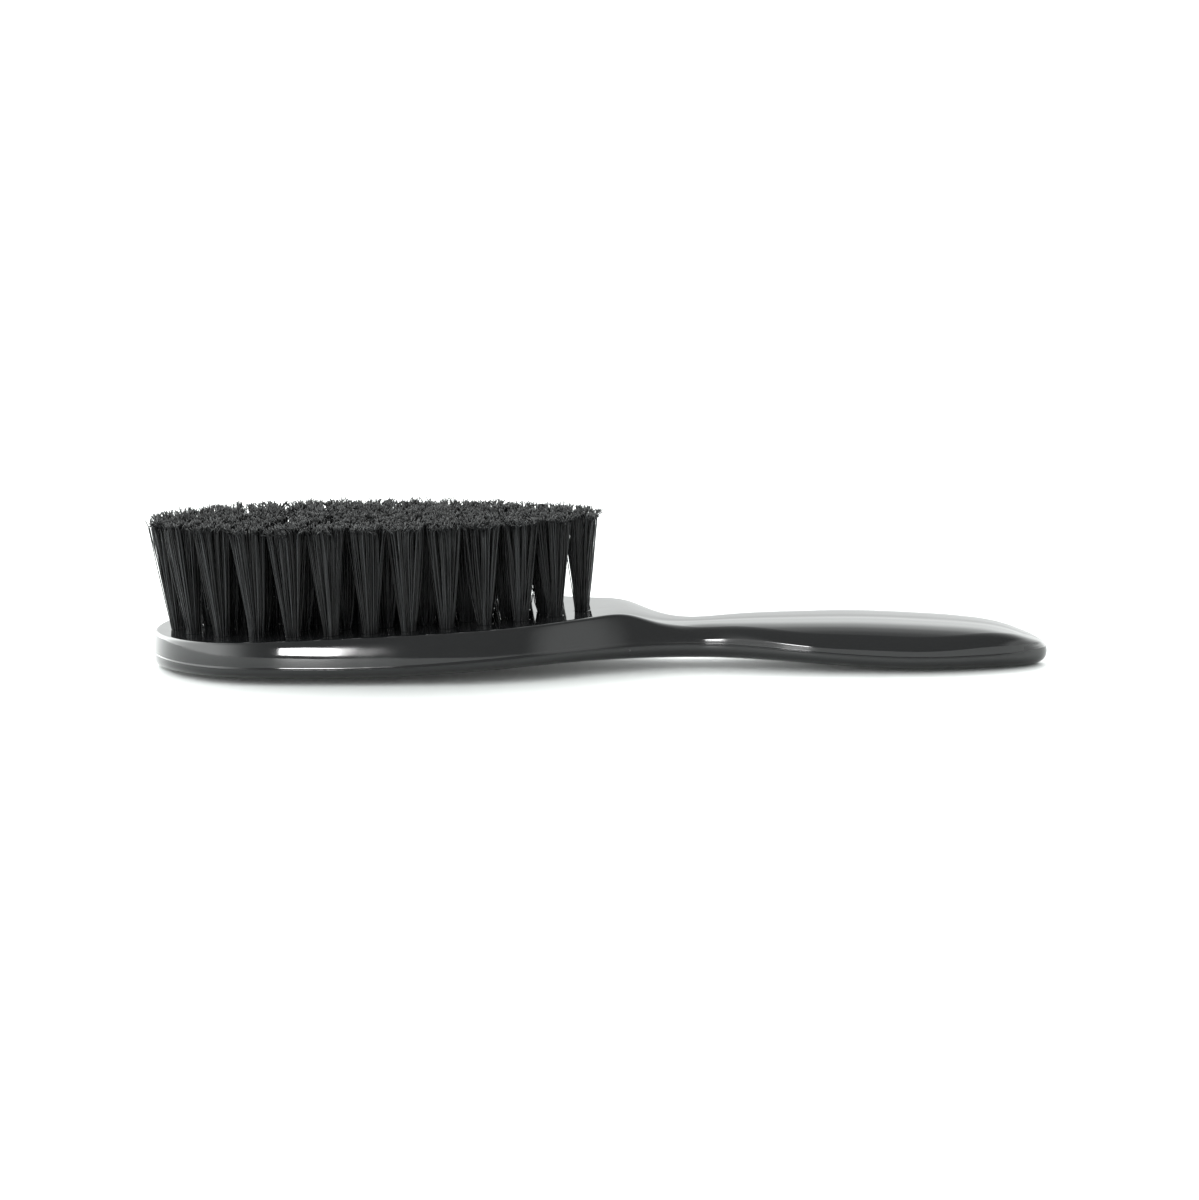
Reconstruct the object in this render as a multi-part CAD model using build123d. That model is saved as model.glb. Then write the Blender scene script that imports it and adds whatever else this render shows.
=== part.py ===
"""Club-shaped hand brush: a one-piece moulded handle and head with nylon tufts stapled into it.

Millimetres, +Z up. The brush lies on its back with the bristles up, the head towards -X and the
handle towards +X. While it is built, x = 0 is the throat, the line where the flat bristle face
ends and the neck begins. At the end everything moves so that the origin is the middle of the
bottom of the whole brush.
"""
from build123d import *

import os
from math import cos, hypot, pi, sin, tan

# --- Moulded body: plan view ------------------------------------------------------------------
HEAD_LENGTH = 89.6        # throat to the rounded end of the head
HEAD_WIDTH = 49.2         # across the parting line
NECK_WIDTH = 14.8         # narrowest place
HANDLE_LENGTH = 90.3      # throat to the tip of the handle
HANDLE_WIDTH = 25.0       # widest place of the paddle handle

# --- Moulded body: heights above the table ------------------------------------------------------
WIDEST_HEIGHT = 4.0       # the body is widest this far above its back
THROAT_THICKNESS = 11.5   # height of the bristle face at the throat
FACE_RISE = 2.6           # degrees, the face climbs towards the throat
NECK_TOP = 9.15
NECK_LIFT = 1.9           # the back arches clear of the table under the neck
HANDLE_TOP = 10.3         # crown of the paddle handle
TIP_TOP = 4.4             # height of the crown where it meets the tip
CROWN_ROUNDNESS = 3.2     # exponent of the crown across the handle, higher is flatter on top
FACE_EDGE_RADIUS = 0.6    # rounding round the bristle face and the top of the handle
BACK_SHARE = 0.45         # share of the half width that is already rounded off at the back itself
BACK_ROUNDNESS = 5        # exponent of that rounding, higher is squarer
BACK_INSET = 2.4          # the back starts this far inside the widest line at both ends

# --- Tufts and their anchors ----------------------------------------------------------------------
END_MARGIN = 4.9          # end of the head to the outer ring of tuft centres
SIDE_MARGIN = 5.6         # side of the head to the outer ring
THROAT_MARGIN = 2.4       # throat to the outer ring
RING_TAPER = 0.18         # the rings are egg-shaped, slimmer towards the throat
RING_STEP = 6.6           # ring to ring along the head
RING_TUFTS = (26, 19, 14) # tufts in each ring, outer ring first
RING_STARTS = (0.5, 0.5, 0.0)  # first tuft of each ring, in pitches from the long axis at the throat
CENTRE_TUFTS = 5          # tufts in the straight row down the middle
CENTRE_PITCH = 6.5        # tuft to tuft in that row
HOLE_DIAMETER = 2.9
HOLE_DEPTH = 5.0
TUFT_CLEARANCE = 0.02     # radial, packed filaments to hole wall
FOLD_GAP = 0.4            # folded end of the tuft to the bottom of its hole
FLARE_START = 0.5         # the tuft stays as tight as its hole up to here above the face
TIP_DIAMETER = 5.0        # tuft across its trimmed end
TIP_GAP = 0.12            # least room between two trimmed ends
LEAN_MIDDLE = -3.6        # degrees, lean of the tufts half way along the head, towards the end
LEAN_FAN = 2.9            # degrees, they fan out by this much at each end
TRIM_HEIGHT = 31.55       # trimmed ends above the table at the throat
TRIM_RISE = 0.77          # degrees, the trimmed ends climb towards the throat
ANCHOR_THICKNESS = 0.35
ANCHOR_HEIGHT = 1.6
ANCHOR_BITE = 0.2         # the flat wire bites this far into the wall at each side of the hole
ANCHOR_LIFT = 1.2         # bottom of the hole to the lower edge of the wire
ANCHOR_TURN = 45.0        # degrees, wire to the long axis of the brush


def along_head(share):
    """Station x at a share of the head's length from the throat."""
    return -share * HEAD_LENGTH


def along_handle(share):
    """Station x at a share of the handle's length from the throat."""
    return share * HANDLE_LENGTH


# --- Body ---------------------------------------------------------------------------------------

def half_outline():
    """Points of the parting line on the +Y side, from the head's end to the tip."""
    head = HEAD_WIDTH / 2
    neck = NECK_WIDTH / 2
    handle = HANDLE_WIDTH / 2
    centre = head - HEAD_LENGTH
    points = [(centre - head * cos(a), head * sin(a)) for a in (0, pi / 8, pi / 4, 3 * pi / 8, pi / 2)]
    points += [(along_head(0.50), head * 1.01), (along_head(0.33), head * 0.985)]
    points += [(along_head(0.20), head * 0.89), (along_head(0.10), head * 0.73)]
    points += [(along_head(0.00), head * 0.535), (along_handle(0.09), neck * 1.29)]
    points += [(along_handle(0.20), neck), (along_handle(0.32), handle * 0.72)]
    points += [(along_handle(0.45), handle * 0.92), (along_handle(0.60), handle)]
    points += [(along_handle(0.76), handle * 0.94), (along_handle(0.87), handle * 0.735)]
    points += [(along_handle(0.95), handle * 0.47), (along_handle(1.00), 0)]
    return points


def ramp(x, start, end):
    """Smooth step from 0 at start to 1 at end."""
    share = min(max((x - start) / (end - start), 0.0), 1.0)
    return (1 - cos(pi * share)) / 2


def back_height(x):
    """Height of the back at a station: on the table under the head and the handle, arched between."""
    up = ramp(x, along_head(0.60), along_head(0.02))
    down = ramp(x, along_handle(0.24), along_handle(0.74))
    return NECK_LIFT * up * (1 - down)


def back_rounding(height):
    """Share of the half width that the rounded edge takes away at a height above the back."""
    share = (1 - min(height / WIDEST_HEIGHT, 1.0)) ** BACK_ROUNDNESS
    return min(BACK_SHARE * share, 1.2 * BACK_SHARE)


def widest_line():
    """Closed outline of the body in plan, where it is widest."""
    upper = half_outline()
    lower = [(x, -y) for x, y in reversed(upper[1:-1])]
    return Spline(*[Vector(x, y, 0) for x, y in upper + lower], periodic=True)


def plan_section(line, height, inset):
    """Plan section of the side wall at a height; inset counts above the widest line."""
    count = 72
    points = []
    for i in range(count):
        at = line @ (i / count)
        inwards = (line % (i / count)).rotate(Axis.Z, -90)
        rounding = back_rounding(height - back_height(at.X))
        x = at.X + inwards.X * (inset + BACK_INSET * rounding)
        y = at.Y * (1 - rounding) + inwards.Y * inset
        points.append(Vector(x, y, height))
    return Face(Wire(Spline(*points, periodic=True)))


def moulded_wall():
    """Side wall of the body: rounded into the back, slightly convex towards the face."""
    line = widest_line()
    back = (-0.4, 0.2, 0.7, 1.3, 2.1, 3.0, WIDEST_HEIGHT)
    front = [(0.0, 0.0), (0.33, 0.28), (0.67, 0.9), (1.0, 1.9)]
    rise = THROAT_THICKNESS + 1.5 - WIDEST_HEIGHT
    lower = loft([plan_section(line, z, 0.0) for z in back])
    upper = loft([plan_section(line, WIDEST_HEIGHT + share * rise, inset) for share, inset in front])
    return lower + upper


def face_height(x):
    """Height of the bristle face at a station of the head."""
    return THROAT_THICKNESS + x * tan(FACE_RISE * pi / 180)


def top_section(x, top, half_width, sag):
    """Cross-section below the top surface: crowned by sag over its half width."""
    low = -6.0
    shares = (-1.0, -0.75, -0.5, -0.25, 0.0, 0.25, 0.5, 0.75, 1.0)
    crown = Spline(*[Vector(x, s * half_width, top - sag * abs(s) ** CROWN_ROUNDNESS) for s in shares])
    right = Line(crown @ 1, Vector(x, half_width, low))
    floor = Line(right @ 1, Vector(x, -half_width, low))
    left = Line(floor @ 1, crown @ 0)
    return Face(Wire([crown, right, floor, left]))


def top_block():
    """Everything below the top surface: flat over the head, crowned along the handle."""
    margin = 2.0
    head = HEAD_WIDTH / 2 + margin
    handle = HANDLE_WIDTH / 2 + margin
    flats = (1.12, 0.85, 0.55, 0.35, 0.22, 0.14, 0.08, 0.03)
    sections = [top_section(along_head(s), face_height(along_head(s)), head, 0.0) for s in flats]
    crowned = [
        (0.06, THROAT_THICKNESS + 0.1, 0.78 * head, 2.7),
        (0.13, (THROAT_THICKNESS + NECK_TOP) / 2 - 0.45, 0.60 * head, 6.6),
        (0.20, NECK_TOP, 0.75 * handle, 7.5),
        (0.29, NECK_TOP * 0.6 + HANDLE_TOP * 0.4, 0.83 * handle, 7.9),
        (0.42, HANDLE_TOP * 0.98, 0.97 * handle, 8.1),
        (0.57, HANDLE_TOP, 1.02 * handle, 7.9),
        (0.70, HANDLE_TOP * 0.96, 1.02 * handle, 8.0),
        (0.82, HANDLE_TOP * 0.885, 0.95 * handle, 7.3),
        (0.91, HANDLE_TOP * 0.745, 0.82 * handle, 5.6),
        (0.965, HANDLE_TOP * 0.565, 0.72 * handle, 4.4),
        (1.00, TIP_TOP, 0.66 * handle, 3.6),
        (1.05, TIP_TOP - 2.3, 0.60 * handle, 2.2),
    ]
    sections += [top_section(along_handle(s), z, w, sag) for s, z, w, sag in crowned]
    return loft(sections)


def back_block():
    """Everything above the back."""
    high = THROAT_THICKNESS + 6
    far = along_handle(1.2)
    near = along_head(1.2)
    stations = [along_head(0.60), along_head(0.45), along_head(0.30), along_head(0.15), along_head(0.02)]
    stations += [along_handle(share) for share in (0.12, 0.24, 0.36, 0.49, 0.62, 0.74)]
    points = [Vector(x, 0, back_height(x)) for x in stations]
    under_neck = Spline(*points, tangents=[(1, 0, 0), (1, 0, 0)])
    under_head = Line(Vector(near, 0, 0), under_neck @ 0)
    under_handle = Line(under_neck @ 1, Vector(far, 0, 0))
    lid = Polyline(under_handle @ 1, Vector(far, 0, high), Vector(near, 0, high), under_head @ 0)
    side = Face(Wire([under_head, under_neck, under_handle] + lid.edges()))
    return extrude(side, HEAD_WIDTH, dir=(0, 1, 0), both=True)


def body_blank():
    """The moulding before its tuft holes, with its upper rim rounded."""
    blank = (moulded_wall() & top_block() & back_block()).solid()
    all_round = blank.edges().filter_by(lambda edge: edge.length > 2 * HEAD_LENGTH)
    return blank.fillet(FACE_EDGE_RADIUS, [all_round.sort_by(Axis.Z)[-1]])


# --- Tufts ----------------------------------------------------------------------------------------

RING_FRONT = END_MARGIN - HEAD_LENGTH
RING_REAR = -THROAT_MARGIN
RING_SIDE = HEAD_WIDTH / 2 - SIDE_MARGIN
RING_MIDDLE = (RING_FRONT + RING_REAR) / 2


def ring_point(ring, angle):
    """Tuft centre on a ring: angle 0 at the throat, pi at the end of the head."""
    half_length = (RING_REAR - RING_FRONT) / 2 - ring * RING_STEP
    half_width = RING_SIDE * (1 - ring / len(RING_TUFTS))
    x = RING_MIDDLE + half_length * cos(angle)
    return x, half_width * sin(angle) * (1 - RING_TAPER * cos(angle))


def ring_centres(ring):
    """Tuft centres round one ring, evenly spaced."""
    steps = 2000
    fine = [ring_point(ring, 2 * pi * i / steps) for i in range(steps + 1)]
    run = [0.0]
    for (x0, y0), (x1, y1) in zip(fine, fine[1:]):
        run.append(run[-1] + hypot(x1 - x0, y1 - y0))
    centres = []
    for i in range(RING_TUFTS[ring]):
        target = run[-1] * (i + RING_STARTS[ring]) / RING_TUFTS[ring]
        centres.append(fine[min(range(len(run)), key=lambda k: abs(run[k] - target))])
    return centres


def centre_row():
    """Tuft centres of the straight row down the middle."""
    return [(RING_MIDDLE + CENTRE_PITCH * (i - (CENTRE_TUFTS - 1) / 2), 0.0) for i in range(CENTRE_TUFTS)]


def tuft_plane(x, y):
    """Plane at the mouth of a tuft hole, its z axis up along the tuft."""
    share = (x - RING_MIDDLE) / ((RING_REAR - RING_FRONT) / 2)
    lean = (LEAN_MIDDLE + LEAN_FAN * share) * pi / 180
    return Plane(origin=(x, y, face_height(x)), x_dir=(cos(lean), 0, -sin(lean)), z_dir=(sin(lean), 0, cos(lean)))


def closest_pair(centres):
    """Least distance between any two tuft centres."""
    return min(hypot(a[0] - b[0], a[1] - b[1]) for i, a in enumerate(centres) for b in centres[:i])


def anchor():
    """Flat wire that holds a folded tuft, in the tuft's own frame."""
    width = HOLE_DIAMETER + 2 * ANCHOR_BITE
    middle = ANCHOR_LIFT + ANCHOR_HEIGHT / 2 - HOLE_DEPTH
    return Pos(0, 0, middle) * Rot(0, 0, ANCHOR_TURN) * Box(width, ANCHOR_THICKNESS, ANCHOR_HEIGHT)


def tuft_bore():
    """Blind hole with the slot that the wire cuts for itself, in the tuft's own frame."""
    overlap = 1.0
    bore = Cylinder(HOLE_DIAMETER / 2, HOLE_DEPTH + overlap, align=(Align.CENTER, Align.CENTER, Align.MAX))
    return (Pos(0, 0, overlap) * bore) + anchor()


def tuft(tip_diameter):
    """Folded tuft round its anchor, longer than needed, in its own frame."""
    root = HOLE_DIAMETER / 2 - TUFT_CLEARANCE
    length = TRIM_HEIGHT
    free = TRIM_HEIGHT - THROAT_THICKNESS
    flare = (tip_diameter / 2 - root) / free
    profile = Polyline(
        (0, FOLD_GAP - HOLE_DEPTH), (root * 0.6, FOLD_GAP - HOLE_DEPTH), (root, 2 * FOLD_GAP - HOLE_DEPTH),
        (root, FLARE_START), (root + flare * (length - FLARE_START), length), (0, length), close=True)
    return revolve(Plane.XZ * make_face(profile), Axis.Z) - anchor()


def trim_block():
    """Everything above the plane that the tufts are trimmed to."""
    block = Box(4 * HEAD_LENGTH, 4 * HEAD_WIDTH, 2 * TRIM_HEIGHT, align=(Align.CENTER, Align.CENTER, Align.MIN))
    return Pos(0, 0, TRIM_HEIGHT) * Rot(0, -TRIM_RISE, 0) * block


# --- Brush ----------------------------------------------------------------------------------------

def numbered(name, pieces):
    """One node for each piece."""
    return {f"{name}_{i + 1:02d}": piece for i, piece in enumerate(pieces)}


def brush():
    """All nodes of the brush by name."""
    rings = [ring_centres(ring) for ring in range(len(RING_TUFTS))]
    rows = rings + [centre_row()]
    everywhere = [centre for row in rows for centre in row]
    tip_diameter = min(TIP_DIAMETER, closest_pair(everywhere) - TIP_GAP)
    whole_tuft = tuft(tip_diameter)
    trim = trim_block()

    def tufts(row):
        return [(tuft_plane(x, y).location * whole_tuft - trim).solid() for x, y in row]

    def anchors(row):
        return [(tuft_plane(x, y).location * anchor()).solid() for x, y in row]

    bores = [tuft_plane(x, y).location * tuft_bore() for x, y in everywhere]
    nodes = {"brush_body": body_blank() - bores}
    nodes |= numbered("outer_tuft", tufts(rings[0]))
    nodes |= numbered("second_ring_tuft", tufts(rings[1]))
    inner = [centre for ring in rings[2:] for centre in ring]
    nodes["inner_ring_tufts"] = Compound(tufts(inner))
    nodes["centre_row_tufts"] = Compound(tufts(rows[-1]))
    nodes["outer_ring_anchors"] = Compound(anchors(rings[0]))
    nodes["second_ring_anchors"] = Compound(anchors(rings[1]))
    nodes["inner_ring_anchors"] = Compound(anchors(inner))
    nodes["centre_row_anchors"] = Compound(anchors(rows[-1]))
    return nodes


def main():
    """Write one STEP file for each node, with the origin in the middle of the bottom."""
    nodes = brush()
    boxes = [piece.bounding_box() for piece in nodes.values()]
    low = min(box.min.X for box in boxes)
    high = max(box.max.X for box in boxes)
    os.makedirs("parts", exist_ok=True)
    for name, piece in nodes.items():
        export_step(Pos(-(low + high) / 2, 0, 0) * piece, f"parts/{name}.step")
    print(f"{len(nodes)} nodes, x from {low:.2f} to {high:.2f} before the shift")


main()
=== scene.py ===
"""Looks of a club-shaped hand brush: glossy moulded body, tufts of nylon filament, flat wire anchors.

Metres, +Z up. The brush lies on its back with the bristles up and the handle towards +X.
"""
from __future__ import annotations

import logging
from dataclasses import dataclass, field
from enum import Enum
from math import pi, radians, tan

import bmesh
import bpy
import numpy as np
from mathutils import Matrix, Vector


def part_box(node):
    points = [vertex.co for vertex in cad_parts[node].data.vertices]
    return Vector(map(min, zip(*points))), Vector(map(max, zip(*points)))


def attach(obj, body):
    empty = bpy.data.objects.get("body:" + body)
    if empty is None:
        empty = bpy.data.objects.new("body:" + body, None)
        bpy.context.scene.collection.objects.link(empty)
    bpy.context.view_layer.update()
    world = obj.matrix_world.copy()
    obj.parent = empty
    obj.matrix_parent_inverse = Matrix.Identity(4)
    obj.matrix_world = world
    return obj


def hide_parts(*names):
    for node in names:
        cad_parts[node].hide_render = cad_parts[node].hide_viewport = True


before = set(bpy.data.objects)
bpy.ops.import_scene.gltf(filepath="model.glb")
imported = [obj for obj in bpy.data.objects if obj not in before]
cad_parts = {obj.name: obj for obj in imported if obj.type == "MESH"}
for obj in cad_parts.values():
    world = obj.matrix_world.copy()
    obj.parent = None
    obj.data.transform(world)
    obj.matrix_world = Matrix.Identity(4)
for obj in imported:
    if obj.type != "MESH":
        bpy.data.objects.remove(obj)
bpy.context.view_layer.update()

log = logging.getLogger("brush")
MM = 0.001
OUTER_FLARE = (0.85, 1.15)  # exponents of the filaments' spread, lower spreads sooner
INNER_FLARE = (0.40, 0.75)


class Slot(Enum):
    """Material slots of the record."""

    BODY = "moulded_body"
    FILAMENT = "nylon_filament"
    WIRE = "anchor_wire"


# --- Curves --------------------------------------------------------------------------------------

def ramp(x: np.ndarray, start: float, end: float) -> np.ndarray:
    """Smooth step.

    Args:
        x: Places to work out.
        start: Where the step is still 0.
        end: Where the step has reached 1.

    Returns:
        The height of the step at each place.
    """
    share = np.clip((x - start) / (end - start), 0.0, 1.0)
    return (1 - np.cos(pi * share)) / 2


@dataclass
class SmoothLine:
    """Smooth curve through values at stations, with even curvature across each station."""

    stations: np.ndarray
    values: np.ndarray
    closed: bool = False
    start_slope: float = 0.0
    end_slope: float = 0.0
    slopes: np.ndarray = field(init=False)

    def __post_init__(self) -> None:
        """Work out the slope at each station."""
        n = len(self.stations)
        gap = np.diff(self.stations)
        rise = np.diff(self.values, axis=0) / (gap[:, None] if self.values.ndim > 1 else gap)
        system = np.zeros((n, n))
        right = np.zeros_like(self.values, dtype=float)
        for i in range(1, n - 1):
            system[i, i - 1], system[i, i + 1] = gap[i], gap[i - 1]
            system[i, i] = 2 * (gap[i - 1] + gap[i])
            right[i] = 3 * (gap[i] * rise[i - 1] + gap[i - 1] * rise[i])
        system[0, 0] = system[-1, -1] = 1
        if self.closed:
            system[0, 1], system[0, -2] = gap[-1], gap[0]
            system[0, 0] = 2 * (gap[0] + gap[-1])
            right[0] = 3 * (gap[-1] * rise[0] + gap[0] * rise[-1])
            system[-1, 0] = -1
        else:
            right[0], right[-1] = self.start_slope, self.end_slope
        self.slopes = np.linalg.solve(system, right)

    def at(self, x: np.ndarray) -> np.ndarray:
        """Value of the curve.

        Args:
            x: Places along the stations, held inside them.

        Returns:
            The value at each place.
        """
        x = np.clip(x, self.stations[0], self.stations[-1])
        i = np.clip(np.searchsorted(self.stations, x) - 1, 0, len(self.stations) - 2)
        gap = self.stations[i + 1] - self.stations[i]
        t = (x - self.stations[i]) / gap
        if self.values.ndim > 1:
            t, gap = t[:, None], gap[:, None]
        value = (1 + 2 * t) * (1 - t) ** 2 * self.values[i] + t * (1 - t) ** 2 * gap * self.slopes[i]
        value = value + t ** 2 * (3 - 2 * t) * self.values[i + 1]
        return value + t ** 2 * (t - 1) * gap * self.slopes[i + 1]


# --- Finishes ------------------------------------------------------------------------------------

class NodeSheet:
    """A material's node tree, and short ways to add to it."""

    def __init__(self, name: str) -> None:
        """Start a material with a plain Principled shader.

        Args:
            name: Name of the material.
        """
        self.material = bpy.data.materials.new(name)
        self.material.use_nodes = True
        self.tree = self.material.node_tree
        self.shader = self.tree.nodes["Principled BSDF"]

    def add(self, kind: str, inputs: dict[str, object] | None = None, **settings: object) -> bpy.types.Node:
        """Add a node.

        Args:
            kind: Name of the node type.
            inputs: Socket values by name; a socket makes a link instead.
            settings: The node's own settings.

        Returns:
            The new node.
        """
        node = self.tree.nodes.new(kind)
        for key, value in settings.items():
            setattr(node, key, value)
        for key, value in (inputs or {}).items():
            self.feed(node, key, value)
        return node

    def feed(self, node: bpy.types.Node, key: str, value: object) -> None:
        """Set or link one socket of a node.

        Args:
            node: The node to feed.
            key: Name of its socket.
            value: The value; a socket makes a link instead.
        """
        if isinstance(value, bpy.types.NodeSocket):
            self.tree.links.new(value, node.inputs[key])
        else:
            node.inputs[key].default_value = value

    def place(self) -> bpy.types.NodeSocket:
        """The piece's own coordinates.

        Returns:
            The socket that carries them.
        """
        return self.add("ShaderNodeTexCoord").outputs["Object"]

    def noise(self, scale: float, detail: float = 2.0,
              at: bpy.types.NodeSocket | None = None) -> bpy.types.NodeSocket:
        """Soft noise, about 0.3 to 0.7.

        Args:
            scale: Waves a metre.
            detail: How many finer layers it has.
            at: Coordinates, the piece's own if left out.

        Returns:
            The noise.
        """
        inputs = {"Vector": at or self.place(), "Scale": scale, "Detail": detail}
        return self.add("ShaderNodeTexNoise", inputs).outputs["Fac"]

    def spread(self, value: bpy.types.NodeSocket, low: tuple, high: tuple) -> bpy.types.NodeSocket:
        """Carry a value from one range, (from, to), into another.

        Args:
            value: What to carry.
            low: The value and the result at the lower end.
            high: The value and the result at the upper end.

        Returns:
            The carried value.
        """
        inputs = {"Value": value, "From Min": low[0], "To Min": low[1]}
        inputs |= {"From Max": high[0], "To Max": high[1]}
        return self.add("ShaderNodeMapRange", inputs).outputs["Result"]

    def product(self, first: bpy.types.NodeSocket, second: bpy.types.NodeSocket) -> bpy.types.NodeSocket:
        """Product of two values.

        Args:
            first: One value.
            second: The other value.

        Returns:
            Their product.
        """
        node = self.add("ShaderNodeMath", operation="MULTIPLY")
        self.tree.links.new(first, node.inputs[0])
        self.tree.links.new(second, node.inputs[1])
        return node.outputs[0]

    def blend(self, share: bpy.types.NodeSocket, low: tuple, high: tuple) -> bpy.types.NodeSocket:
        """Colour between two colours.

        Args:
            share: How far along, 0 to 1.
            low: Colour at 0.
            high: Colour at 1.

        Returns:
            The colour.
        """
        node = self.add("ShaderNodeMix", data_type="RGBA")
        factor, _, _, _, _, _, first, second = node.inputs[:8]
        self.tree.links.new(share, factor)
        first.default_value = low
        second.default_value = high
        return node.outputs[2]

    def relief(self, height: bpy.types.NodeSocket, strength: float, distance: float) -> None:
        """Bump the shader's surface.

        Args:
            height: Height of the relief.
            strength: How strongly it shows.
            distance: Height of a full step, in metres.
        """
        bump = self.add("ShaderNodeBump", {"Height": height, "Strength": strength, "Distance": distance})
        self.feed(self.shader, "Normal", bump.outputs["Normal"])


@dataclass(frozen=True)
class GlossPlastic:
    """Black plastic out of a polished mould: faint waviness, handling haze and a little dust."""

    colour: tuple = (0.0055, 0.0058, 0.0062, 1.0)
    dust: tuple = (0.16, 0.16, 0.16, 1.0)
    gloss: float = 0.045
    haze: float = 0.13
    haze_scale: float = 45.0
    dust_scale: float = 520.0
    dust_core: float = 0.035
    dust_rim: float = 0.06
    dust_rarity: float = 0.95
    wave_scale: float = 110.0
    wave_strength: float = 0.12
    wave_height: float = 0.4 * MM

    def make(self) -> bpy.types.Material:
        """Build the material.

        Returns:
            The material.
        """
        sheet = NodeSheet("black_gloss_plastic")
        place = sheet.place()
        sheet.shader.inputs["IOR"].default_value = 1.5
        haze = sheet.noise(self.haze_scale, 4.0, place)
        roughness = sheet.spread(haze, (0.35, self.gloss), (0.75, self.haze))
        sheet.feed(sheet.shader, "Roughness", roughness)
        cells = sheet.add("ShaderNodeTexVoronoi", {"Vector": place, "Scale": self.dust_scale})
        speck = sheet.spread(cells.outputs["Distance"], (self.dust_core, 1.0), (self.dust_rim, 0.0))
        picked = sheet.add("ShaderNodeSeparateColor", {"Color": cells.outputs["Color"]})
        rare = sheet.spread(picked.outputs["Red"], (self.dust_rarity, 0.0), (self.dust_rarity + 0.01, 1.0))
        dusty = sheet.blend(sheet.product(speck, rare), self.colour, self.dust)
        sheet.feed(sheet.shader, "Base Color", dusty)
        waves = sheet.noise(self.wave_scale, 1.0, place)
        sheet.relief(waves, self.wave_strength, self.wave_height)
        return sheet.material


@dataclass(frozen=True)
class NylonFilament:
    """Black nylon filament: satin, each strand its own tone, duller sheen at the trimmed end, and painted
    shade there: the colour darkens towards the trimmed end to stand in for the shadows inside the bristle
    mat.
    """

    dark: tuple = (0.0008, 0.0009, 0.001, 1.0)
    light: tuple = (0.042, 0.045, 0.047, 1.0)
    dark_roughness: float = 0.36
    light_roughness: float = 0.26
    sheen: float = 0.26
    cut_sheen: float = 0.16
    # painted shade: share of the strand's colour left at the trimmed end, darkening the top of the mat
    cut_painted_shade: float = 0.7
    grain_scale: float = 2500.0
    grain_strength: float = 0.25
    grain_height: float = 0.03 * MM

    def make(self) -> bpy.types.Material:
        """Build the material.

        Returns:
            The material.
        """
        sheet = NodeSheet("black_nylon_filament")
        strand = sheet.add("ShaderNodeAttribute", attribute_name="strand").outputs["Fac"]
        cut = sheet.add("ShaderNodeAttribute", attribute_name="cut").outputs["Fac"]
        # painted shade: the colour darkens towards the trimmed ends, in place of the shadows between the
        # filaments in the mat
        tone = sheet.product(strand, sheet.spread(cut, (0.0, 1.0), (1.0, self.cut_painted_shade)))
        sheet.feed(sheet.shader, "Base Color", sheet.blend(tone, self.dark, self.light))
        roughness = sheet.spread(strand, (0.0, self.dark_roughness), (1.0, self.light_roughness))
        sheet.feed(sheet.shader, "Roughness", roughness)
        sheen = sheet.spread(cut, (0.0, self.sheen), (1.0, self.cut_sheen))
        sheet.feed(sheet.shader, "Specular IOR Level", sheen)
        sheet.relief(sheet.noise(self.grain_scale), self.grain_strength, self.grain_height)
        return sheet.material


@dataclass(frozen=True)
class DrawnBrass:
    """Flat drawn wire, brassy, with draw lines along it."""

    bright: tuple = (0.66, 0.57, 0.33, 1.0)
    dull: tuple = (0.42, 0.34, 0.18, 1.0)
    stretch: tuple = (1.0, 1.0, 9.0)
    line_scale: float = 1400.0
    line_strength: float = 0.3
    line_height: float = 0.02 * MM

    def make(self) -> bpy.types.Material:
        """Build the material.

        Returns:
            The material.
        """
        sheet = NodeSheet("drawn_brass_wire")
        sheet.shader.inputs["Metallic"].default_value = 1.0
        stretched = sheet.add("ShaderNodeMapping", {"Vector": sheet.place(), "Scale": self.stretch})
        lines = sheet.noise(self.line_scale, 3.0, stretched.outputs["Vector"])
        sheet.feed(sheet.shader, "Base Color", sheet.blend(lines, self.dull, self.bright))
        sheet.feed(sheet.shader, "Roughness", sheet.spread(lines, (0.3, 0.42), (0.7, 0.24)))
        sheet.relief(lines, self.line_strength, self.line_height)
        return sheet.material


@dataclass(frozen=True)
class WhiteTable:
    """Smooth white table top with a weak sheen."""

    colour: tuple = (0.78, 0.79, 0.785, 1.0)
    shade: tuple = (0.75, 0.765, 0.76, 1.0)

    def make(self) -> bpy.types.Material:
        """Build the material.

        Returns:
            The material.
        """
        sheet = NodeSheet("white_table")
        sheet.feed(sheet.shader, "Base Color", sheet.blend(sheet.noise(3.0), self.shade, self.colour))
        sheet.shader.inputs["Roughness"].default_value = 0.4
        sheet.shader.inputs["Specular IOR Level"].default_value = 0.25
        return sheet.material


# --- Pieces --------------------------------------------------------------------------------------

def finished(name: str, bm: bmesh.types.BMesh, material: bpy.types.Material) -> bpy.types.Object:
    """Turn a mesh in the making into a smooth-shaded object at the origin.

    Args:
        name: Name of the piece.
        bm: The mesh; it is freed.
        material: Its finish.

    Returns:
        The object.
    """
    mesh = bpy.data.meshes.new(name)
    bm.to_mesh(mesh)
    bm.free()
    mesh.materials.append(material)
    mesh.polygons.foreach_set("use_smooth", [True] * len(mesh.polygons))
    piece = bpy.data.objects.new(name, mesh)
    bpy.context.scene.collection.objects.link(piece)
    return piece


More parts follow.
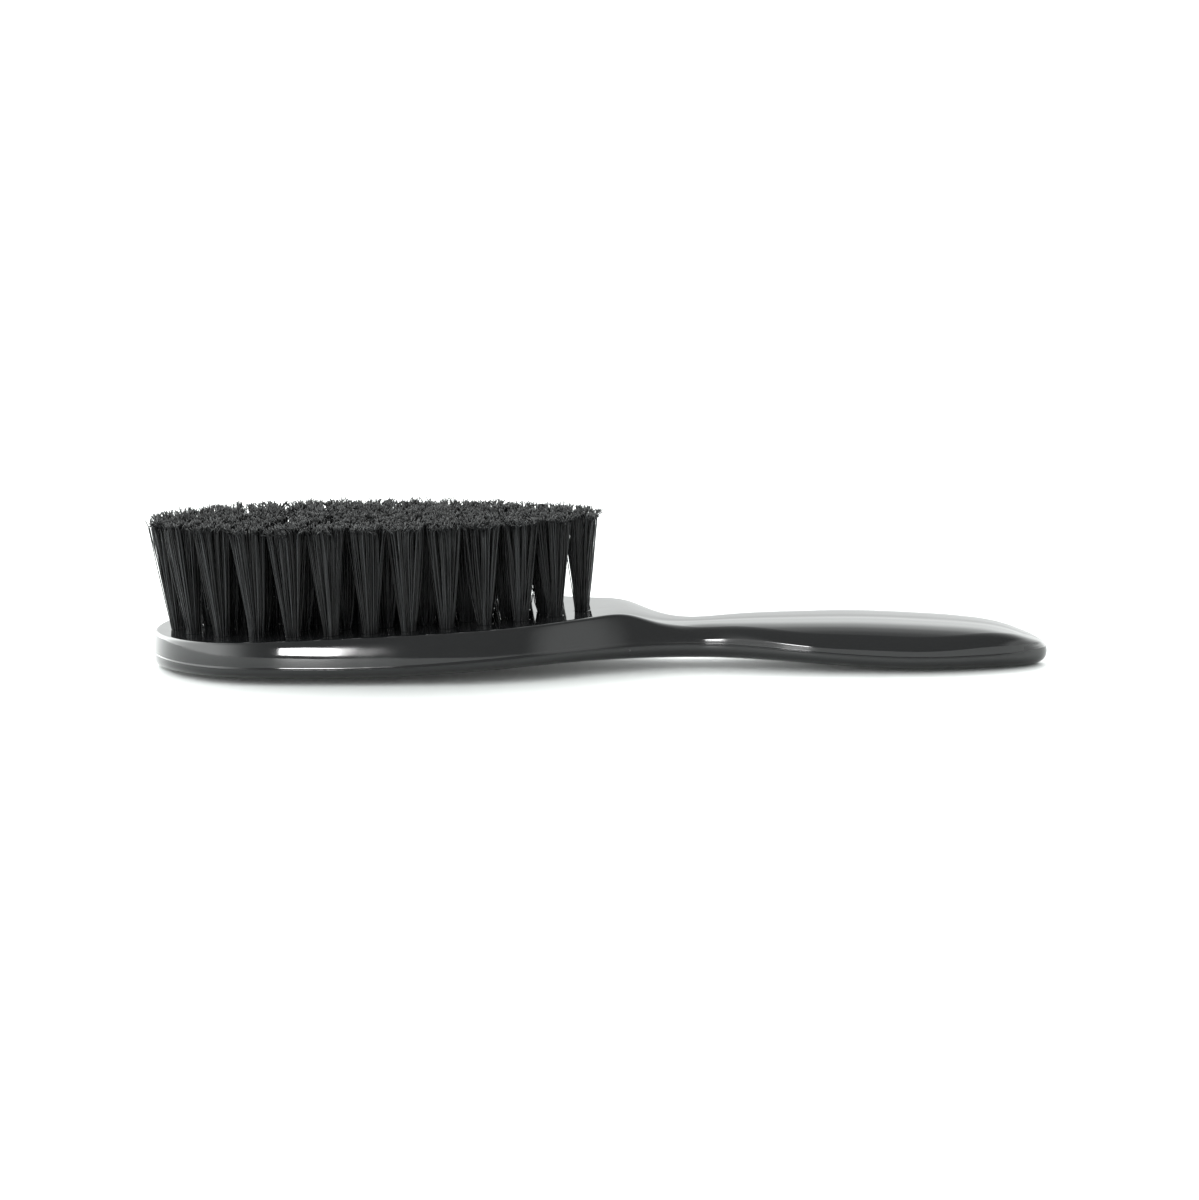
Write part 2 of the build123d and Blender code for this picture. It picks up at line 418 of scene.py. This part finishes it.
@dataclass
class Seat:
    """Where one tuft stands: the folded end in its hole and the middle of its trimmed end.

    The folded end lies fold_depth below the mouth of the hole.
    """

    fold: Vector
    trim: Vector
    fold_depth: float = 4.6 * MM

    @property
    def axis(self) -> Vector:
        """Direction up along the tuft.

        Returns:
            A unit vector.
        """
        return (self.trim - self.fold).normalized()

    @property
    def mouth(self) -> Vector:
        """Middle of the hole at the bristle face.

        Returns:
            The place.
        """
        return self.fold + self.axis * self.fold_depth

    @staticmethod
    def all_of(node: str) -> list[Seat]:
        """Seats of every tuft in a CAD node.

        Args:
            node: Name of the CAD node.

        Returns:
            One seat for each separate solid.
        """
        bm = bmesh.new()
        bm.from_mesh(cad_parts[node].data)
        bmesh.ops.remove_doubles(bm, verts=bm.verts, dist=1e-6)
        left = set(bm.verts)
        seats = []
        while left:
            island, edge = set(), [left.pop()]
            while edge:
                vert = edge.pop()
                island.add(vert)
                near = {e.other_vert(vert) for e in vert.link_edges} & left
                left -= near
                edge.extend(near)
            places = np.array([v.co for v in island])
            bottom = places[places[:, 2] < places[:, 2].min() + 0.2 * MM].mean(axis=0)
            top = places[places[:, 2] > places[:, 2].max() - 0.1 * MM].mean(axis=0)
            seats.append(Seat(Vector(bottom), Vector(top)))
        bm.free()
        return sorted(seats, key=lambda seat: (seat.mouth.x, seat.mouth.y))


@dataclass
class MouldedBody:
    """One-piece handle and head. x in the outline counts from the throat."""

    head_length: float = 89.6 * MM
    head_width: float = 49.2 * MM
    neck_width: float = 14.8 * MM
    handle_length: float = 90.3 * MM
    handle_width: float = 25.0 * MM
    widest_height: float = 4.0 * MM
    throat_thickness: float = 11.5 * MM
    face_rise: float = radians(2.6)
    neck_top: float = 9.15 * MM
    neck_lift: float = 1.9 * MM
    handle_top: float = 10.3 * MM
    tip_top: float = 4.4 * MM
    crown_roundness: float = 3.2
    back_share: float = 0.45
    back_roundness: float = 5.0
    back_inset: float = 2.4 * MM
    wall_draft: float = 1.9 * MM
    wall_curve: float = 1.78
    edge_round: float = 0.62 * MM
    ridge_height: float = 3.2 * MM
    ridge_bulge: float = 0.07 * MM
    nose_round: float = 0.8 * MM
    nose_low: float = 3.1 * MM
    nose_rise: float = 1.3 * MM
    foot_heights: tuple = (0.06, 0.16, 0.3, 0.5, 0.75, 1.05, 1.4, 1.8, 2.25, 2.6, 2.85)
    ridge_profile: tuple = ((-0.16, 0.0), (-0.10, 0.5), (-0.03, 1.0), (0.03, 1.0), (0.10, 0.5), (0.16, 0.0))
    lip_profile: tuple = ((1.86, -0.05), (1.76, 0.02), (1.62, 0.05), (1.50, 0.03), (1.44, -0.12))
    lip_steps: int = 24
    columns: int = 560
    outline: np.ndarray = field(init=False)
    inwards: np.ndarray = field(init=False)

    def __post_init__(self) -> None:
        """Lay out the widest line and its inward directions, one place for each column."""
        upper = self.half_outline()
        lower = upper[-2:0:-1] * np.array([1, -1])
        corners = np.vstack([upper, lower, upper[:1]])
        run = np.concatenate([[0], np.cumsum(np.linalg.norm(np.diff(corners, axis=0), axis=1))])
        line = SmoothLine(run, corners, closed=True)
        fine = np.linspace(0, run[-1], 8000)
        length = np.concatenate([[0], np.cumsum(np.linalg.norm(np.diff(line.at(fine), axis=0), axis=1))])
        even = np.linspace(0, length[-1], self.columns + 1)
        places = np.interp(even, length, fine)
        step = run[-1] * 1e-5
        self.outline = line.at(places)
        ahead = line.at((places + step) % run[-1]) - line.at((places - step) % run[-1])
        ahead /= np.linalg.norm(ahead, axis=1)[:, None]
        self.inwards = np.stack([ahead[:, 1], -ahead[:, 0]], axis=1)

    def half_outline(self) -> np.ndarray:
        """Points of the widest line on the +Y side, from the head's end to the tip.

        Returns:
            Places, one row each.
        """
        head, neck, handle = self.head_width / 2, self.neck_width / 2, self.handle_width / 2
        turns = np.linspace(0, pi / 2, 5)
        end = np.stack([head - self.head_length - head * np.cos(turns), head * np.sin(turns)], axis=1)
        along_head = [(0.50, 1.01), (0.33, 0.985), (0.20, 0.89), (0.10, 0.73), (0.00, 0.535)]
        sides = [(-share * self.head_length, width * head) for share, width in along_head]
        sides += [(0.09 * self.handle_length, 1.29 * neck), (0.20 * self.handle_length, neck)]
        along_handle = [(0.32, 0.72), (0.45, 0.92), (0.60, 1.0), (0.76, 0.94)]
        along_handle += [(0.87, 0.735), (0.95, 0.47), (1.0, 0)]
        sides += [(share * self.handle_length, width * handle) for share, width in along_handle]
        return np.vstack([end, sides])

    def back_height(self, x: np.ndarray) -> np.ndarray:
        """Height of the back, which arches clear of the table under the neck.

        Args:
            x: Stations from the throat.

        Returns:
            The height at each station.
        """
        up = ramp(x, -0.60 * self.head_length, -0.02 * self.head_length)
        down = ramp(x, 0.24 * self.handle_length, 0.74 * self.handle_length)
        return self.neck_lift * up * (1 - down)

    def top_height(self, x: np.ndarray, y: np.ndarray) -> np.ndarray:
        """Height of the flat bristle face and of the crowned neck and handle.

        Args:
            x: Stations from the throat.
            y: Distances from the long axis.

        Returns:
            The height at each place.
        """
        head, handle = self.head_width / 2 + 2 * MM, self.handle_width / 2 + 2 * MM
        neck, top, thick = self.neck_top, self.handle_top, self.throat_thickness
        start = -0.03 * self.head_length
        rows = np.array([
            (start, thick + start * tan(self.face_rise), 0.90 * head, 0.0),
            (0.06 * self.handle_length, thick + 0.1 * MM, 0.78 * head, 2.7 * MM),
            (0.13 * self.handle_length, (thick + neck) / 2 - 0.45 * MM, 0.60 * head, 6.6 * MM),
            (0.20 * self.handle_length, neck, 0.75 * handle, 7.5 * MM),
            (0.29 * self.handle_length, 0.6 * neck + 0.4 * top, 0.83 * handle, 7.9 * MM),
            (0.42 * self.handle_length, 0.98 * top, 0.97 * handle, 8.1 * MM),
            (0.57 * self.handle_length, top, 1.02 * handle, 7.9 * MM),
            (0.70 * self.handle_length, 0.96 * top, 1.02 * handle, 8.0 * MM),
            (0.82 * self.handle_length, 0.885 * top, 0.95 * handle, 7.3 * MM),
            (0.91 * self.handle_length, 0.745 * top, 0.82 * handle, 5.6 * MM),
            (0.965 * self.handle_length, 0.565 * top, 0.72 * handle, 4.4 * MM),
            (1.00 * self.handle_length, self.tip_top, 0.66 * handle, 3.6 * MM),
            (1.05 * self.handle_length, self.tip_top - 2.3 * MM, 0.60 * handle, 2.2 * MM)])
        crown = SmoothLine(rows[:, 0], rows[:, 1], start_slope=tan(self.face_rise), end_slope=-0.42)
        half = SmoothLine(rows[:, 0], rows[:, 2])
        sag = SmoothLine(rows[:, 0], rows[:, 3])
        crowned = crown.at(x) - np.maximum(sag.at(x), 0) * (np.abs(y) / half.at(x)) ** self.crown_roundness
        return np.where(x < start, thick + x * tan(self.face_rise), crowned)

    def wall(self, z: np.ndarray, bulge: float = 0.0) -> np.ndarray:
        """Side wall at a height for each column.

        Args:
            z: Height of each column.
            bulge: How far the wall stands out of its plain shape.

        Returns:
            Places on the wall.
        """
        x, y = self.outline.T
        above = np.maximum(z - self.back_height(x), 0)
        rounding = self.back_share * (1 - np.minimum(above / self.widest_height, 1)) ** self.back_roundness
        rise = self.throat_thickness + 1.5 * MM - self.widest_height
        nose = ramp(x, 0.92 * self.handle_length, self.handle_length)
        inset = self.wall_draft * np.maximum((z - self.widest_height) / rise, 0) ** self.wall_curve - bulge
        inset += nose * self.nose_round * np.clip((z - self.nose_low) / self.nose_rise, 0, 1) ** 2
        wide_x = x + self.inwards[:, 0] * (inset + self.back_inset * rounding * (1 + 1.2 * nose))
        wide_y = y * (1 - rounding) + self.inwards[:, 1] * inset
        return np.stack([wide_x, wide_y, z], axis=1)

    def spine(self) -> np.ndarray:
        """Place on the long axis that each column runs in to, over the face and over the back.

        Returns:
            Places, one row for each column.
        """
        start = -self.head_length + 0.46 * self.head_width
        x = np.clip(self.outline[:, 0], start, 0.90 * self.handle_length)
        return np.stack([x, np.zeros_like(x)], axis=1)

    def rings(self) -> list[np.ndarray]:
        """All rings of the surface, from the middle of the back to the middle of the top.

        Returns:
            The rings, each with one place for each column.
        """
        x = self.outline[:, 0]
        back = self.back_height(x)
        spine = self.spine()
        foot = self.wall(back)
        made = []
        for share in (1.0, 0.75, 0.5, 0.25, 0.1, 0.0):
            flat = foot[:, :2] * (1 - share) + spine * share
            made.append(np.column_stack([flat, self.back_height(flat[:, 0])]))
        for height in self.foot_heights:
            made.append(self.wall(back + height * MM))
        ridge = back + self.ridge_height + 0.5 * MM * ramp(x, 0.86 * self.handle_length, self.handle_length)
        for offset, share in self.ridge_profile:
            made.append(self.wall(ridge + offset * MM, self.ridge_bulge * share))
        edge = self.wall(np.full_like(x, 0.6 * self.throat_thickness))
        for _ in range(20):
            edge = self.wall(self.top_height(edge[:, 0], edge[:, 1]))
        soft = self.edge_round * (1 + 1.6 * ramp(x, 0.03 * self.handle_length, 0.2 * self.handle_length))
        below = self.wall(edge[:, 2] - np.minimum(soft, 0.42 * (edge[:, 2] - ridge)))
        for share in (0.08, 0.25, 0.45, 0.65, 0.85, 1.0):
            made.append(self.wall((ridge + 0.16 * MM) * (1 - share) + below[:, 2] * share))
        run = spine - edge[:, :2]
        distance = np.linalg.norm(run, axis=1)
        inside = edge[:, :2] + run * (soft / np.maximum(distance, soft * 2))[:, None]
        inside = np.column_stack([inside, self.top_height(inside[:, 0], inside[:, 1])])
        for share in (0.16, 0.33, 0.5, 0.67, 0.84):
            weights = np.array([(1 - share) ** 2, 2 * share * (1 - share) * 0.72, share ** 2])
            weights /= weights.sum()
            made.append(weights[0] * below + weights[1] * edge + weights[2] * inside)
        for share in (0.0, 0.02, 0.07, 0.14, 0.22, 0.3, 0.39, 0.48, 0.57, 0.66, 0.75, 0.84, 0.92, 1.0):
            flat = inside[:, :2] * (1 - share) + spine * share
            made.append(np.column_stack([flat, self.top_height(flat[:, 0], flat[:, 1])]))
        return made

    def surface(self, throat: float) -> bmesh.types.BMesh:
        """Closed surface of the body.

        Args:
            throat: x of the throat in the row frame.

        Returns:
            The mesh in the making.
        """
        rings = self.rings()
        bm = bmesh.new()
        bmesh.ops.create_grid(bm, x_segments=self.columns, y_segments=len(rings) - 1, size=1.0)
        for vert in bm.verts:
            column = round((vert.co.x + 1) / 2 * self.columns)
            ring = round((vert.co.y + 1) / 2 * (len(rings) - 1))
            vert.co = Vector(rings[ring][column]) + Vector((throat, 0, 0))
        bmesh.ops.remove_doubles(bm, verts=bm.verts, dist=2e-6)
        bmesh.ops.dissolve_degenerate(bm, edges=bm.edges, dist=1e-6)
        bmesh.ops.recalc_face_normals(bm, faces=bm.faces)
        return bm

    def collar(self) -> bpy.types.Mesh:
        """Low lip that stands round a tuft hole, at the origin.

        Returns:
            The mesh.
        """
        bm = bmesh.new()
        verts = [bm.verts.new((radius * MM, 0, height * MM)) for radius, height in self.lip_profile]
        edges = [bm.edges.new(pair) for pair in zip(verts, verts[1:])]
        bmesh.ops.spin(bm, geom=verts + edges, cent=(0, 0, 0), axis=(0, 0, 1), angle=2 * pi,
                       steps=self.lip_steps, use_merge=True)
        bmesh.ops.recalc_face_normals(bm, faces=bm.faces)
        mesh = bpy.data.meshes.new("hole_collar")
        bm.to_mesh(mesh)
        bm.free()
        return mesh

    def build(self, seats: list[Seat], finish: bpy.types.Material) -> bpy.types.Object:
        """Make the body and dress it.

        Args:
            seats: Where the tufts stand.
            finish: The body's plastic.

        Returns:
            The body.
        """
        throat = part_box("brush_body")[0].x + self.head_length
        bm = self.surface(throat)
        lip = self.collar()
        slope = Matrix.Rotation(-self.face_rise, 4, "Y")
        for seat in seats:
            height = self.throat_thickness + (seat.mouth.x - throat) * tan(self.face_rise)
            at = Matrix.Translation((seat.mouth.x, seat.mouth.y, height)) @ slope
            lip.transform(at)
            bm.from_mesh(lip)
            lip.transform(at.inverted())
        piece = finished("moulded_body", bm, finish)
        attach(piece, "root")
        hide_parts("brush_body")
        return piece


@dataclass
class TuftRow:
    """Filament bundles that stand for one CAD node of tufts.

    Filaments spread from root_radius at the face to tip_radius at the trimmed end, lean towards a
    leader by the share clinging, and hook over near the end. Stations and starts are shares of
    the length. Lengths come as (mean, spread) in shared_trim for a clump, then own_trim for one.
    """

    node: str
    seed: int
    filaments: int = 124
    filament_radius: float = 0.105 * MM
    clumps: int = 24
    clinging: float = 0.34
    root_radius: float = 1.38 * MM
    tip_radius: float = 3.95 * MM
    sunk: float = 0.8 * MM
    flare: tuple = OUTER_FLARE
    flare_start: float = 0.04
    swing: float = 0.16
    spacing: float = 0.9
    reach: float = 0.99
    reach_change: float = 0.05
    stray_share: float = 0.03
    stray_reach: tuple = (1.05, 1.2)
    stray_bend: float = 2.5
    jitter: float = 0.18 * MM
    bow: float = 0.16 * MM
    curl: float = 0.5 * MM
    shared_curl: float = 0.6 * MM
    hook_start: float = 0.91
    hook_drop: float = 0.45
    shared_trim: tuple = (-0.15 * MM, 0.16 * MM)
    own_trim: float = 0.11 * MM
    end_taper: float = 0.12
    shade: tuple = (0.8, 2.9)
    cut_start: float = 0.90
    cut_run: float = 0.05
    sides: int = 5
    stations: tuple = (0.0, 0.12, 0.28, 0.46, 0.66, 0.84, 0.93, 0.965, 1.0)

    def strand(self) -> bpy.types.Mesh:
        """Straight filament of unit radius and unit length along Z, open at the bottom.

        Returns:
            The mesh.
        """
        bm = bmesh.new()
        bmesh.ops.create_circle(bm, cap_ends=False, segments=self.sides, radius=1.0)
        rim = bm.edges[:]
        for low, high in zip(self.stations, self.stations[1:]):
            grown = bmesh.ops.extrude_edge_only(bm, edges=rim)["geom"]
            verts = [item for item in grown if isinstance(item, bmesh.types.BMVert)]
            around = {edge for vert in verts for edge in vert.link_edges}
            rim = [edge for edge in around if set(edge.verts) <= set(verts)]
            bmesh.ops.translate(bm, verts=verts, vec=(0, 0, high - low))
        bmesh.ops.contextual_create(bm, geom=rim)
        bmesh.ops.recalc_face_normals(bm, faces=bm.faces)
        mesh = bpy.data.meshes.new("strand")
        bm.to_mesh(mesh)
        bm.free()
        return mesh

    def centrelines(self, seat: Seat, chance: np.random.Generator) -> np.ndarray:
        """Centre lines of the filaments of one tuft.

        Args:
            seat: Where the tuft stands.
            chance: Source of the differences between filaments.

        Returns:
            Places, one row for each filament and one column for each station.
        """
        n = self.filaments
        t = np.array(self.stations)[None, :]
        around = chance.uniform(0, 2 * pi, n)
        out = np.sqrt((np.arange(n) + 0.5) / n)
        root = np.stack([np.cos(around), np.sin(around)], axis=1) * (out * self.root_radius)[:, None]
        swing = around + chance.normal(0, self.swing, n)
        reach = self.tip_radius * out ** self.spacing * chance.normal(self.reach, self.reach_change, n)
        stray = chance.random(n) < self.stray_share
        reach = np.where(stray, reach * chance.uniform(*self.stray_reach, n), reach)
        tip = np.stack([np.cos(swing), np.sin(swing)], axis=1) * reach[:, None]
        tip += chance.normal(0, self.jitter, (n, 2))
        leader = chance.choice(n, self.clumps, replace=False)
        clump = np.argmin(np.linalg.norm(tip[:, None] - tip[None, leader], axis=2), axis=1)
        tip += (tip[leader][clump] - tip) * np.where(stray, 0.0, self.clinging)[:, None]
        spread = np.clip((t - self.flare_start) / (1 - self.flare_start), 0, 1)
        flare = spread ** chance.uniform(*self.flare, n)[:, None]
        across = root[:, None, :] + (tip - root)[:, None, :] * flare[:, :, None]
        bend = chance.normal(0, self.bow, (n, 2))
        bend[stray] *= self.stray_bend
        across += bend[:, None, :] * np.sin(pi * t)[:, :, None]
        curl = chance.normal(0, self.curl, (n, 2))
        curl = curl + chance.normal(0, self.shared_curl, (self.clumps, 2))[clump]
        hook = np.clip((t - self.hook_start) / (1 - self.hook_start), 0, 1) ** 1.5
        across += curl[:, None, :] * hook[:, :, None]
        up = seat.axis
        length = np.full(n, (seat.trim - seat.mouth).length + self.sunk)
        length += chance.normal(*self.shared_trim, self.clumps)[clump]
        length += chance.normal(0, self.own_trim, n)
        along = t * length[:, None] - self.sunk
        along = along - self.hook_drop * np.linalg.norm(curl, axis=1)[:, None] * hook
        side = Vector((0, 1, 0))
        fore = side.cross(up).normalized()
        lines = np.array(seat.mouth) + along[:, :, None] * np.array(up)
        return lines + across[:, :, :1] * np.array(fore) + across[:, :, 1:] * np.array(side)

    def bent(self, lines: np.ndarray, template: np.ndarray) -> np.ndarray:
        """Wrap copies of the straight filament round centre lines.

        Args:
            lines: Centre lines of the filaments.
            template: Vertices of the straight filament.

        Returns:
            Vertices of all filaments.
        """
        level = np.argmin(np.abs(template[:, 2:3] - np.array(self.stations)[None, :]), axis=1)
        ahead = np.gradient(lines, axis=1)
        ahead /= np.linalg.norm(ahead, axis=2)[:, :, None]
        first = np.array([1.0, 0, 0]) - ahead * ahead[:, :, :1]
        first /= np.linalg.norm(first, axis=2)[:, :, None]
        second = np.cross(ahead, first)
        taper = self.filament_radius * (1 - self.end_taper * (level == len(self.stations) - 1))
        offset = first[:, level] * (template[:, 0] * taper)[None, :, None]
        offset += second[:, level] * (template[:, 1] * taper)[None, :, None]
        return lines[:, level] + offset

    def build(self, finish: bpy.types.Material) -> bpy.types.Object:
        """Make the tufts of the node and dress them.

        Args:
            finish: The filament's nylon.

        Returns:
            The tufts, one piece.
        """
        chance = np.random.default_rng(self.seed)
        strand = self.strand()
        template = np.array([v.co for v in strand.vertices])
        bm = bmesh.new()
        places = []
        for seat in Seat.all_of(self.node):
            places.append(self.bent(self.centrelines(seat, chance), template).reshape(-1, 3))
            for _ in range(self.filaments):
                bm.from_mesh(strand)
        piece = finished(f"{self.node}_filaments", bm, finish)
        piece.data.vertices.foreach_set("co", np.vstack(places).astype(np.float32).ravel())
        strands = len(places) * self.filaments
        shades = np.repeat(chance.beta(*self.shade, strands), len(template))
        # cut rises to 1 at the trimmed end; the nylon darkens its colour there as painted shade and lowers
        # its sheen
        ends = np.tile(np.clip((template[:, 2] - self.cut_start) / self.cut_run, 0, 1), strands)
        for label, values in (("strand", shades), ("cut", ends)):
            layer = piece.data.attributes.new(label, "FLOAT", "POINT")
            layer.data.foreach_set("value", values.astype(np.float32))
        piece.data.update()
        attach(piece, "root")
        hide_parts(self.node)
        return piece


@dataclass
class AnchorWires:
    """The flat wires that hold the tufts: CAD nodes, dressed."""

    nodes: list[str]

    def dress(self, finish: bpy.types.Material) -> None:
        """Give every wire node its finish.

        Args:
            finish: The wire's brass.
        """
        for name in self.nodes:
            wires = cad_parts[name]
            wires.data.materials.clear()
            wires.data.materials.append(finish)
            log.info("dressed %s", name)


# --- Studio --------------------------------------------------------------------------------------

@dataclass
class Studio:
    """White table, white surroundings and one small soft lamp.

    The sweep pairs a direction, from -1 in front to 1 at the back, with its brightness. The sides
    pair a direction to the left or the right, from start to full, with what it adds.
    """

    floor_half: float = 2.5
    sweep: tuple = ((-1.0, 0.55), (-0.1, 0.55), (0.1, 0.95), (0.3, 1.9), (0.5, 3.9), (0.7, 5.6),
                    (0.88, 3.6), (0.965, 1.6), (1.0, 1.4))
    brightest: float = 5.6
    tint: tuple = (0.975, 1.0, 0.99)
    sides: tuple = ((-0.25, -0.85, 0.85), (0.68, 0.82, 0.20))
    lamp_place: tuple = (-0.1385, -0.64, 0.075)
    lamp_aim: tuple = (-0.03, -0.02, 0.008)
    lamp_size: tuple = (0.107, 0.075)
    lamp_watts: float = 1.2
    camera_back: float = 0.5955
    camera_height: float = 0.112
    camera_pitch: float = radians(9.455)
    focal_length: float = 90.08

    def table(self, finish: bpy.types.Material) -> bpy.types.Object:
        """Make the table top under the brush.

        Args:
            finish: Its white top.

        Returns:
            The table top.
        """
        bm = bmesh.new()
        bmesh.ops.create_grid(bm, x_segments=8, y_segments=8, size=self.floor_half)
        floor = finished("table_top", bm, finish)
        return floor

    def surroundings(self) -> None:
        """White sweep: bright overhead behind the brush, less so at both sides, dim in front."""
        world = bpy.data.worlds.new("white_room")
        bpy.context.scene.world = world
        world.use_nodes = True
        tree = world.node_tree
        place = tree.nodes.new("ShaderNodeTexCoord")
        parts = tree.nodes.new("ShaderNodeSeparateXYZ")
        tree.links.new(place.outputs["Generated"], parts.inputs[0])
        depth = tree.nodes.new("ShaderNodeMapRange")
        depth.inputs["From Min"].default_value = -1.0
        tree.links.new(parts.outputs["Y"], depth.inputs["Value"])
        sweep = tree.nodes.new("ShaderNodeValToRGB")
        sweep.color_ramp.interpolation = "EASE"
        stops = sweep.color_ramp.elements
        while len(stops) < len(self.sweep):
            stops.new(0.5)
        for stop, (place_y, brightness) in zip(stops, self.sweep):
            stop.position = (place_y + 1) / 2
            stop.color = (brightness / self.brightest,) * 3 + (1.0,)
        tree.links.new(depth.outputs["Result"], sweep.inputs["Fac"])
        total = sweep.outputs["Color"]
        for start, end, strength in self.sides:
            side = tree.nodes.new("ShaderNodeMapRange")
            side.interpolation_type = "SMOOTHSTEP"
            for key, value in (("From Min", start), ("From Max", end), ("To Max", strength)):
                side.inputs[key].default_value = value
            tree.links.new(parts.outputs["X"], side.inputs["Value"])
            both = tree.nodes.new("ShaderNodeMath")
            both.operation = "ADD"
            tree.links.new(total, both.inputs[0])
            tree.links.new(side.outputs["Result"], both.inputs[1])
            total = both.outputs[0]
        tinted = tree.nodes.new("ShaderNodeVectorMath")
        tinted.operation = "SCALE"
        tinted.inputs[0].default_value = self.tint
        tree.links.new(total, tinted.inputs["Scale"])
        white = tree.nodes["Background"]
        white.inputs["Strength"].default_value = self.brightest
        tree.links.new(tinted.outputs[0], white.inputs["Color"])

    def lamp(self) -> None:
        """Small soft lamp in front, to the left and low."""
        data = bpy.data.lights.new("soft_lamp", "AREA")
        data.shape = "RECTANGLE"
        data.size, data.size_y = self.lamp_size
        data.energy = self.lamp_watts
        lamp = bpy.data.objects.new("soft_lamp", data)
        lamp.location = self.lamp_place
        aim = Vector(self.lamp_aim) - Vector(self.lamp_place)
        lamp.rotation_euler = aim.to_track_quat("-Z", "Y").to_euler()
        lamp.visible_camera = False
        bpy.context.scene.collection.objects.link(lamp)

    def camera(self, throat: float) -> None:
        """Long lens, a little above the table, square to the brush.

        Args:
            throat: x of the throat in the row frame.
        """
        data = bpy.data.cameras.new("camera")
        data.sensor_fit = "HORIZONTAL"
        data.sensor_width = 36.0
        data.lens = self.focal_length
        data.clip_start, data.clip_end = 0.01, 20.0
        camera = bpy.data.objects.new("camera", data)
        camera.location = (throat, -self.camera_back, self.camera_height)
        camera.rotation_euler = (pi / 2 - self.camera_pitch, 0, 0)
        bpy.context.scene.collection.objects.link(camera)
        bpy.context.scene.camera = camera


def main() -> None:
    """Build the brush and its studio."""
    logging.basicConfig(level=logging.INFO, format="%(message)s")
    nodes = sorted(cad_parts)
    tuft_nodes = [name for name in nodes if "tuft" in name]
    seats = [seat for name in tuft_nodes for seat in Seat.all_of(name)]
    body = MouldedBody()
    piece = body.build(seats, GlossPlastic().make())
    log.info("made %s with %d tuft holes", piece.name, len(seats))
    nylon = NylonFilament().make()
    for number, name in enumerate(tuft_nodes):
        flare = OUTER_FLARE if name.startswith("outer") else INNER_FLARE
        piece = TuftRow(name, seed=number + 1, flare=flare).build(nylon)
        log.info("made %s", piece.name)
    AnchorWires([name for name in nodes if "anchor" in name]).dress(DrawnBrass().make())
    studio = Studio()
    studio.table(WhiteTable().make())
    studio.surroundings()
    studio.lamp()
    studio.camera(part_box("brush_body")[0].x + body.head_length)
    bpy.context.scene.view_settings.view_transform = "Standard"


if __name__ == "__main__":
    main()
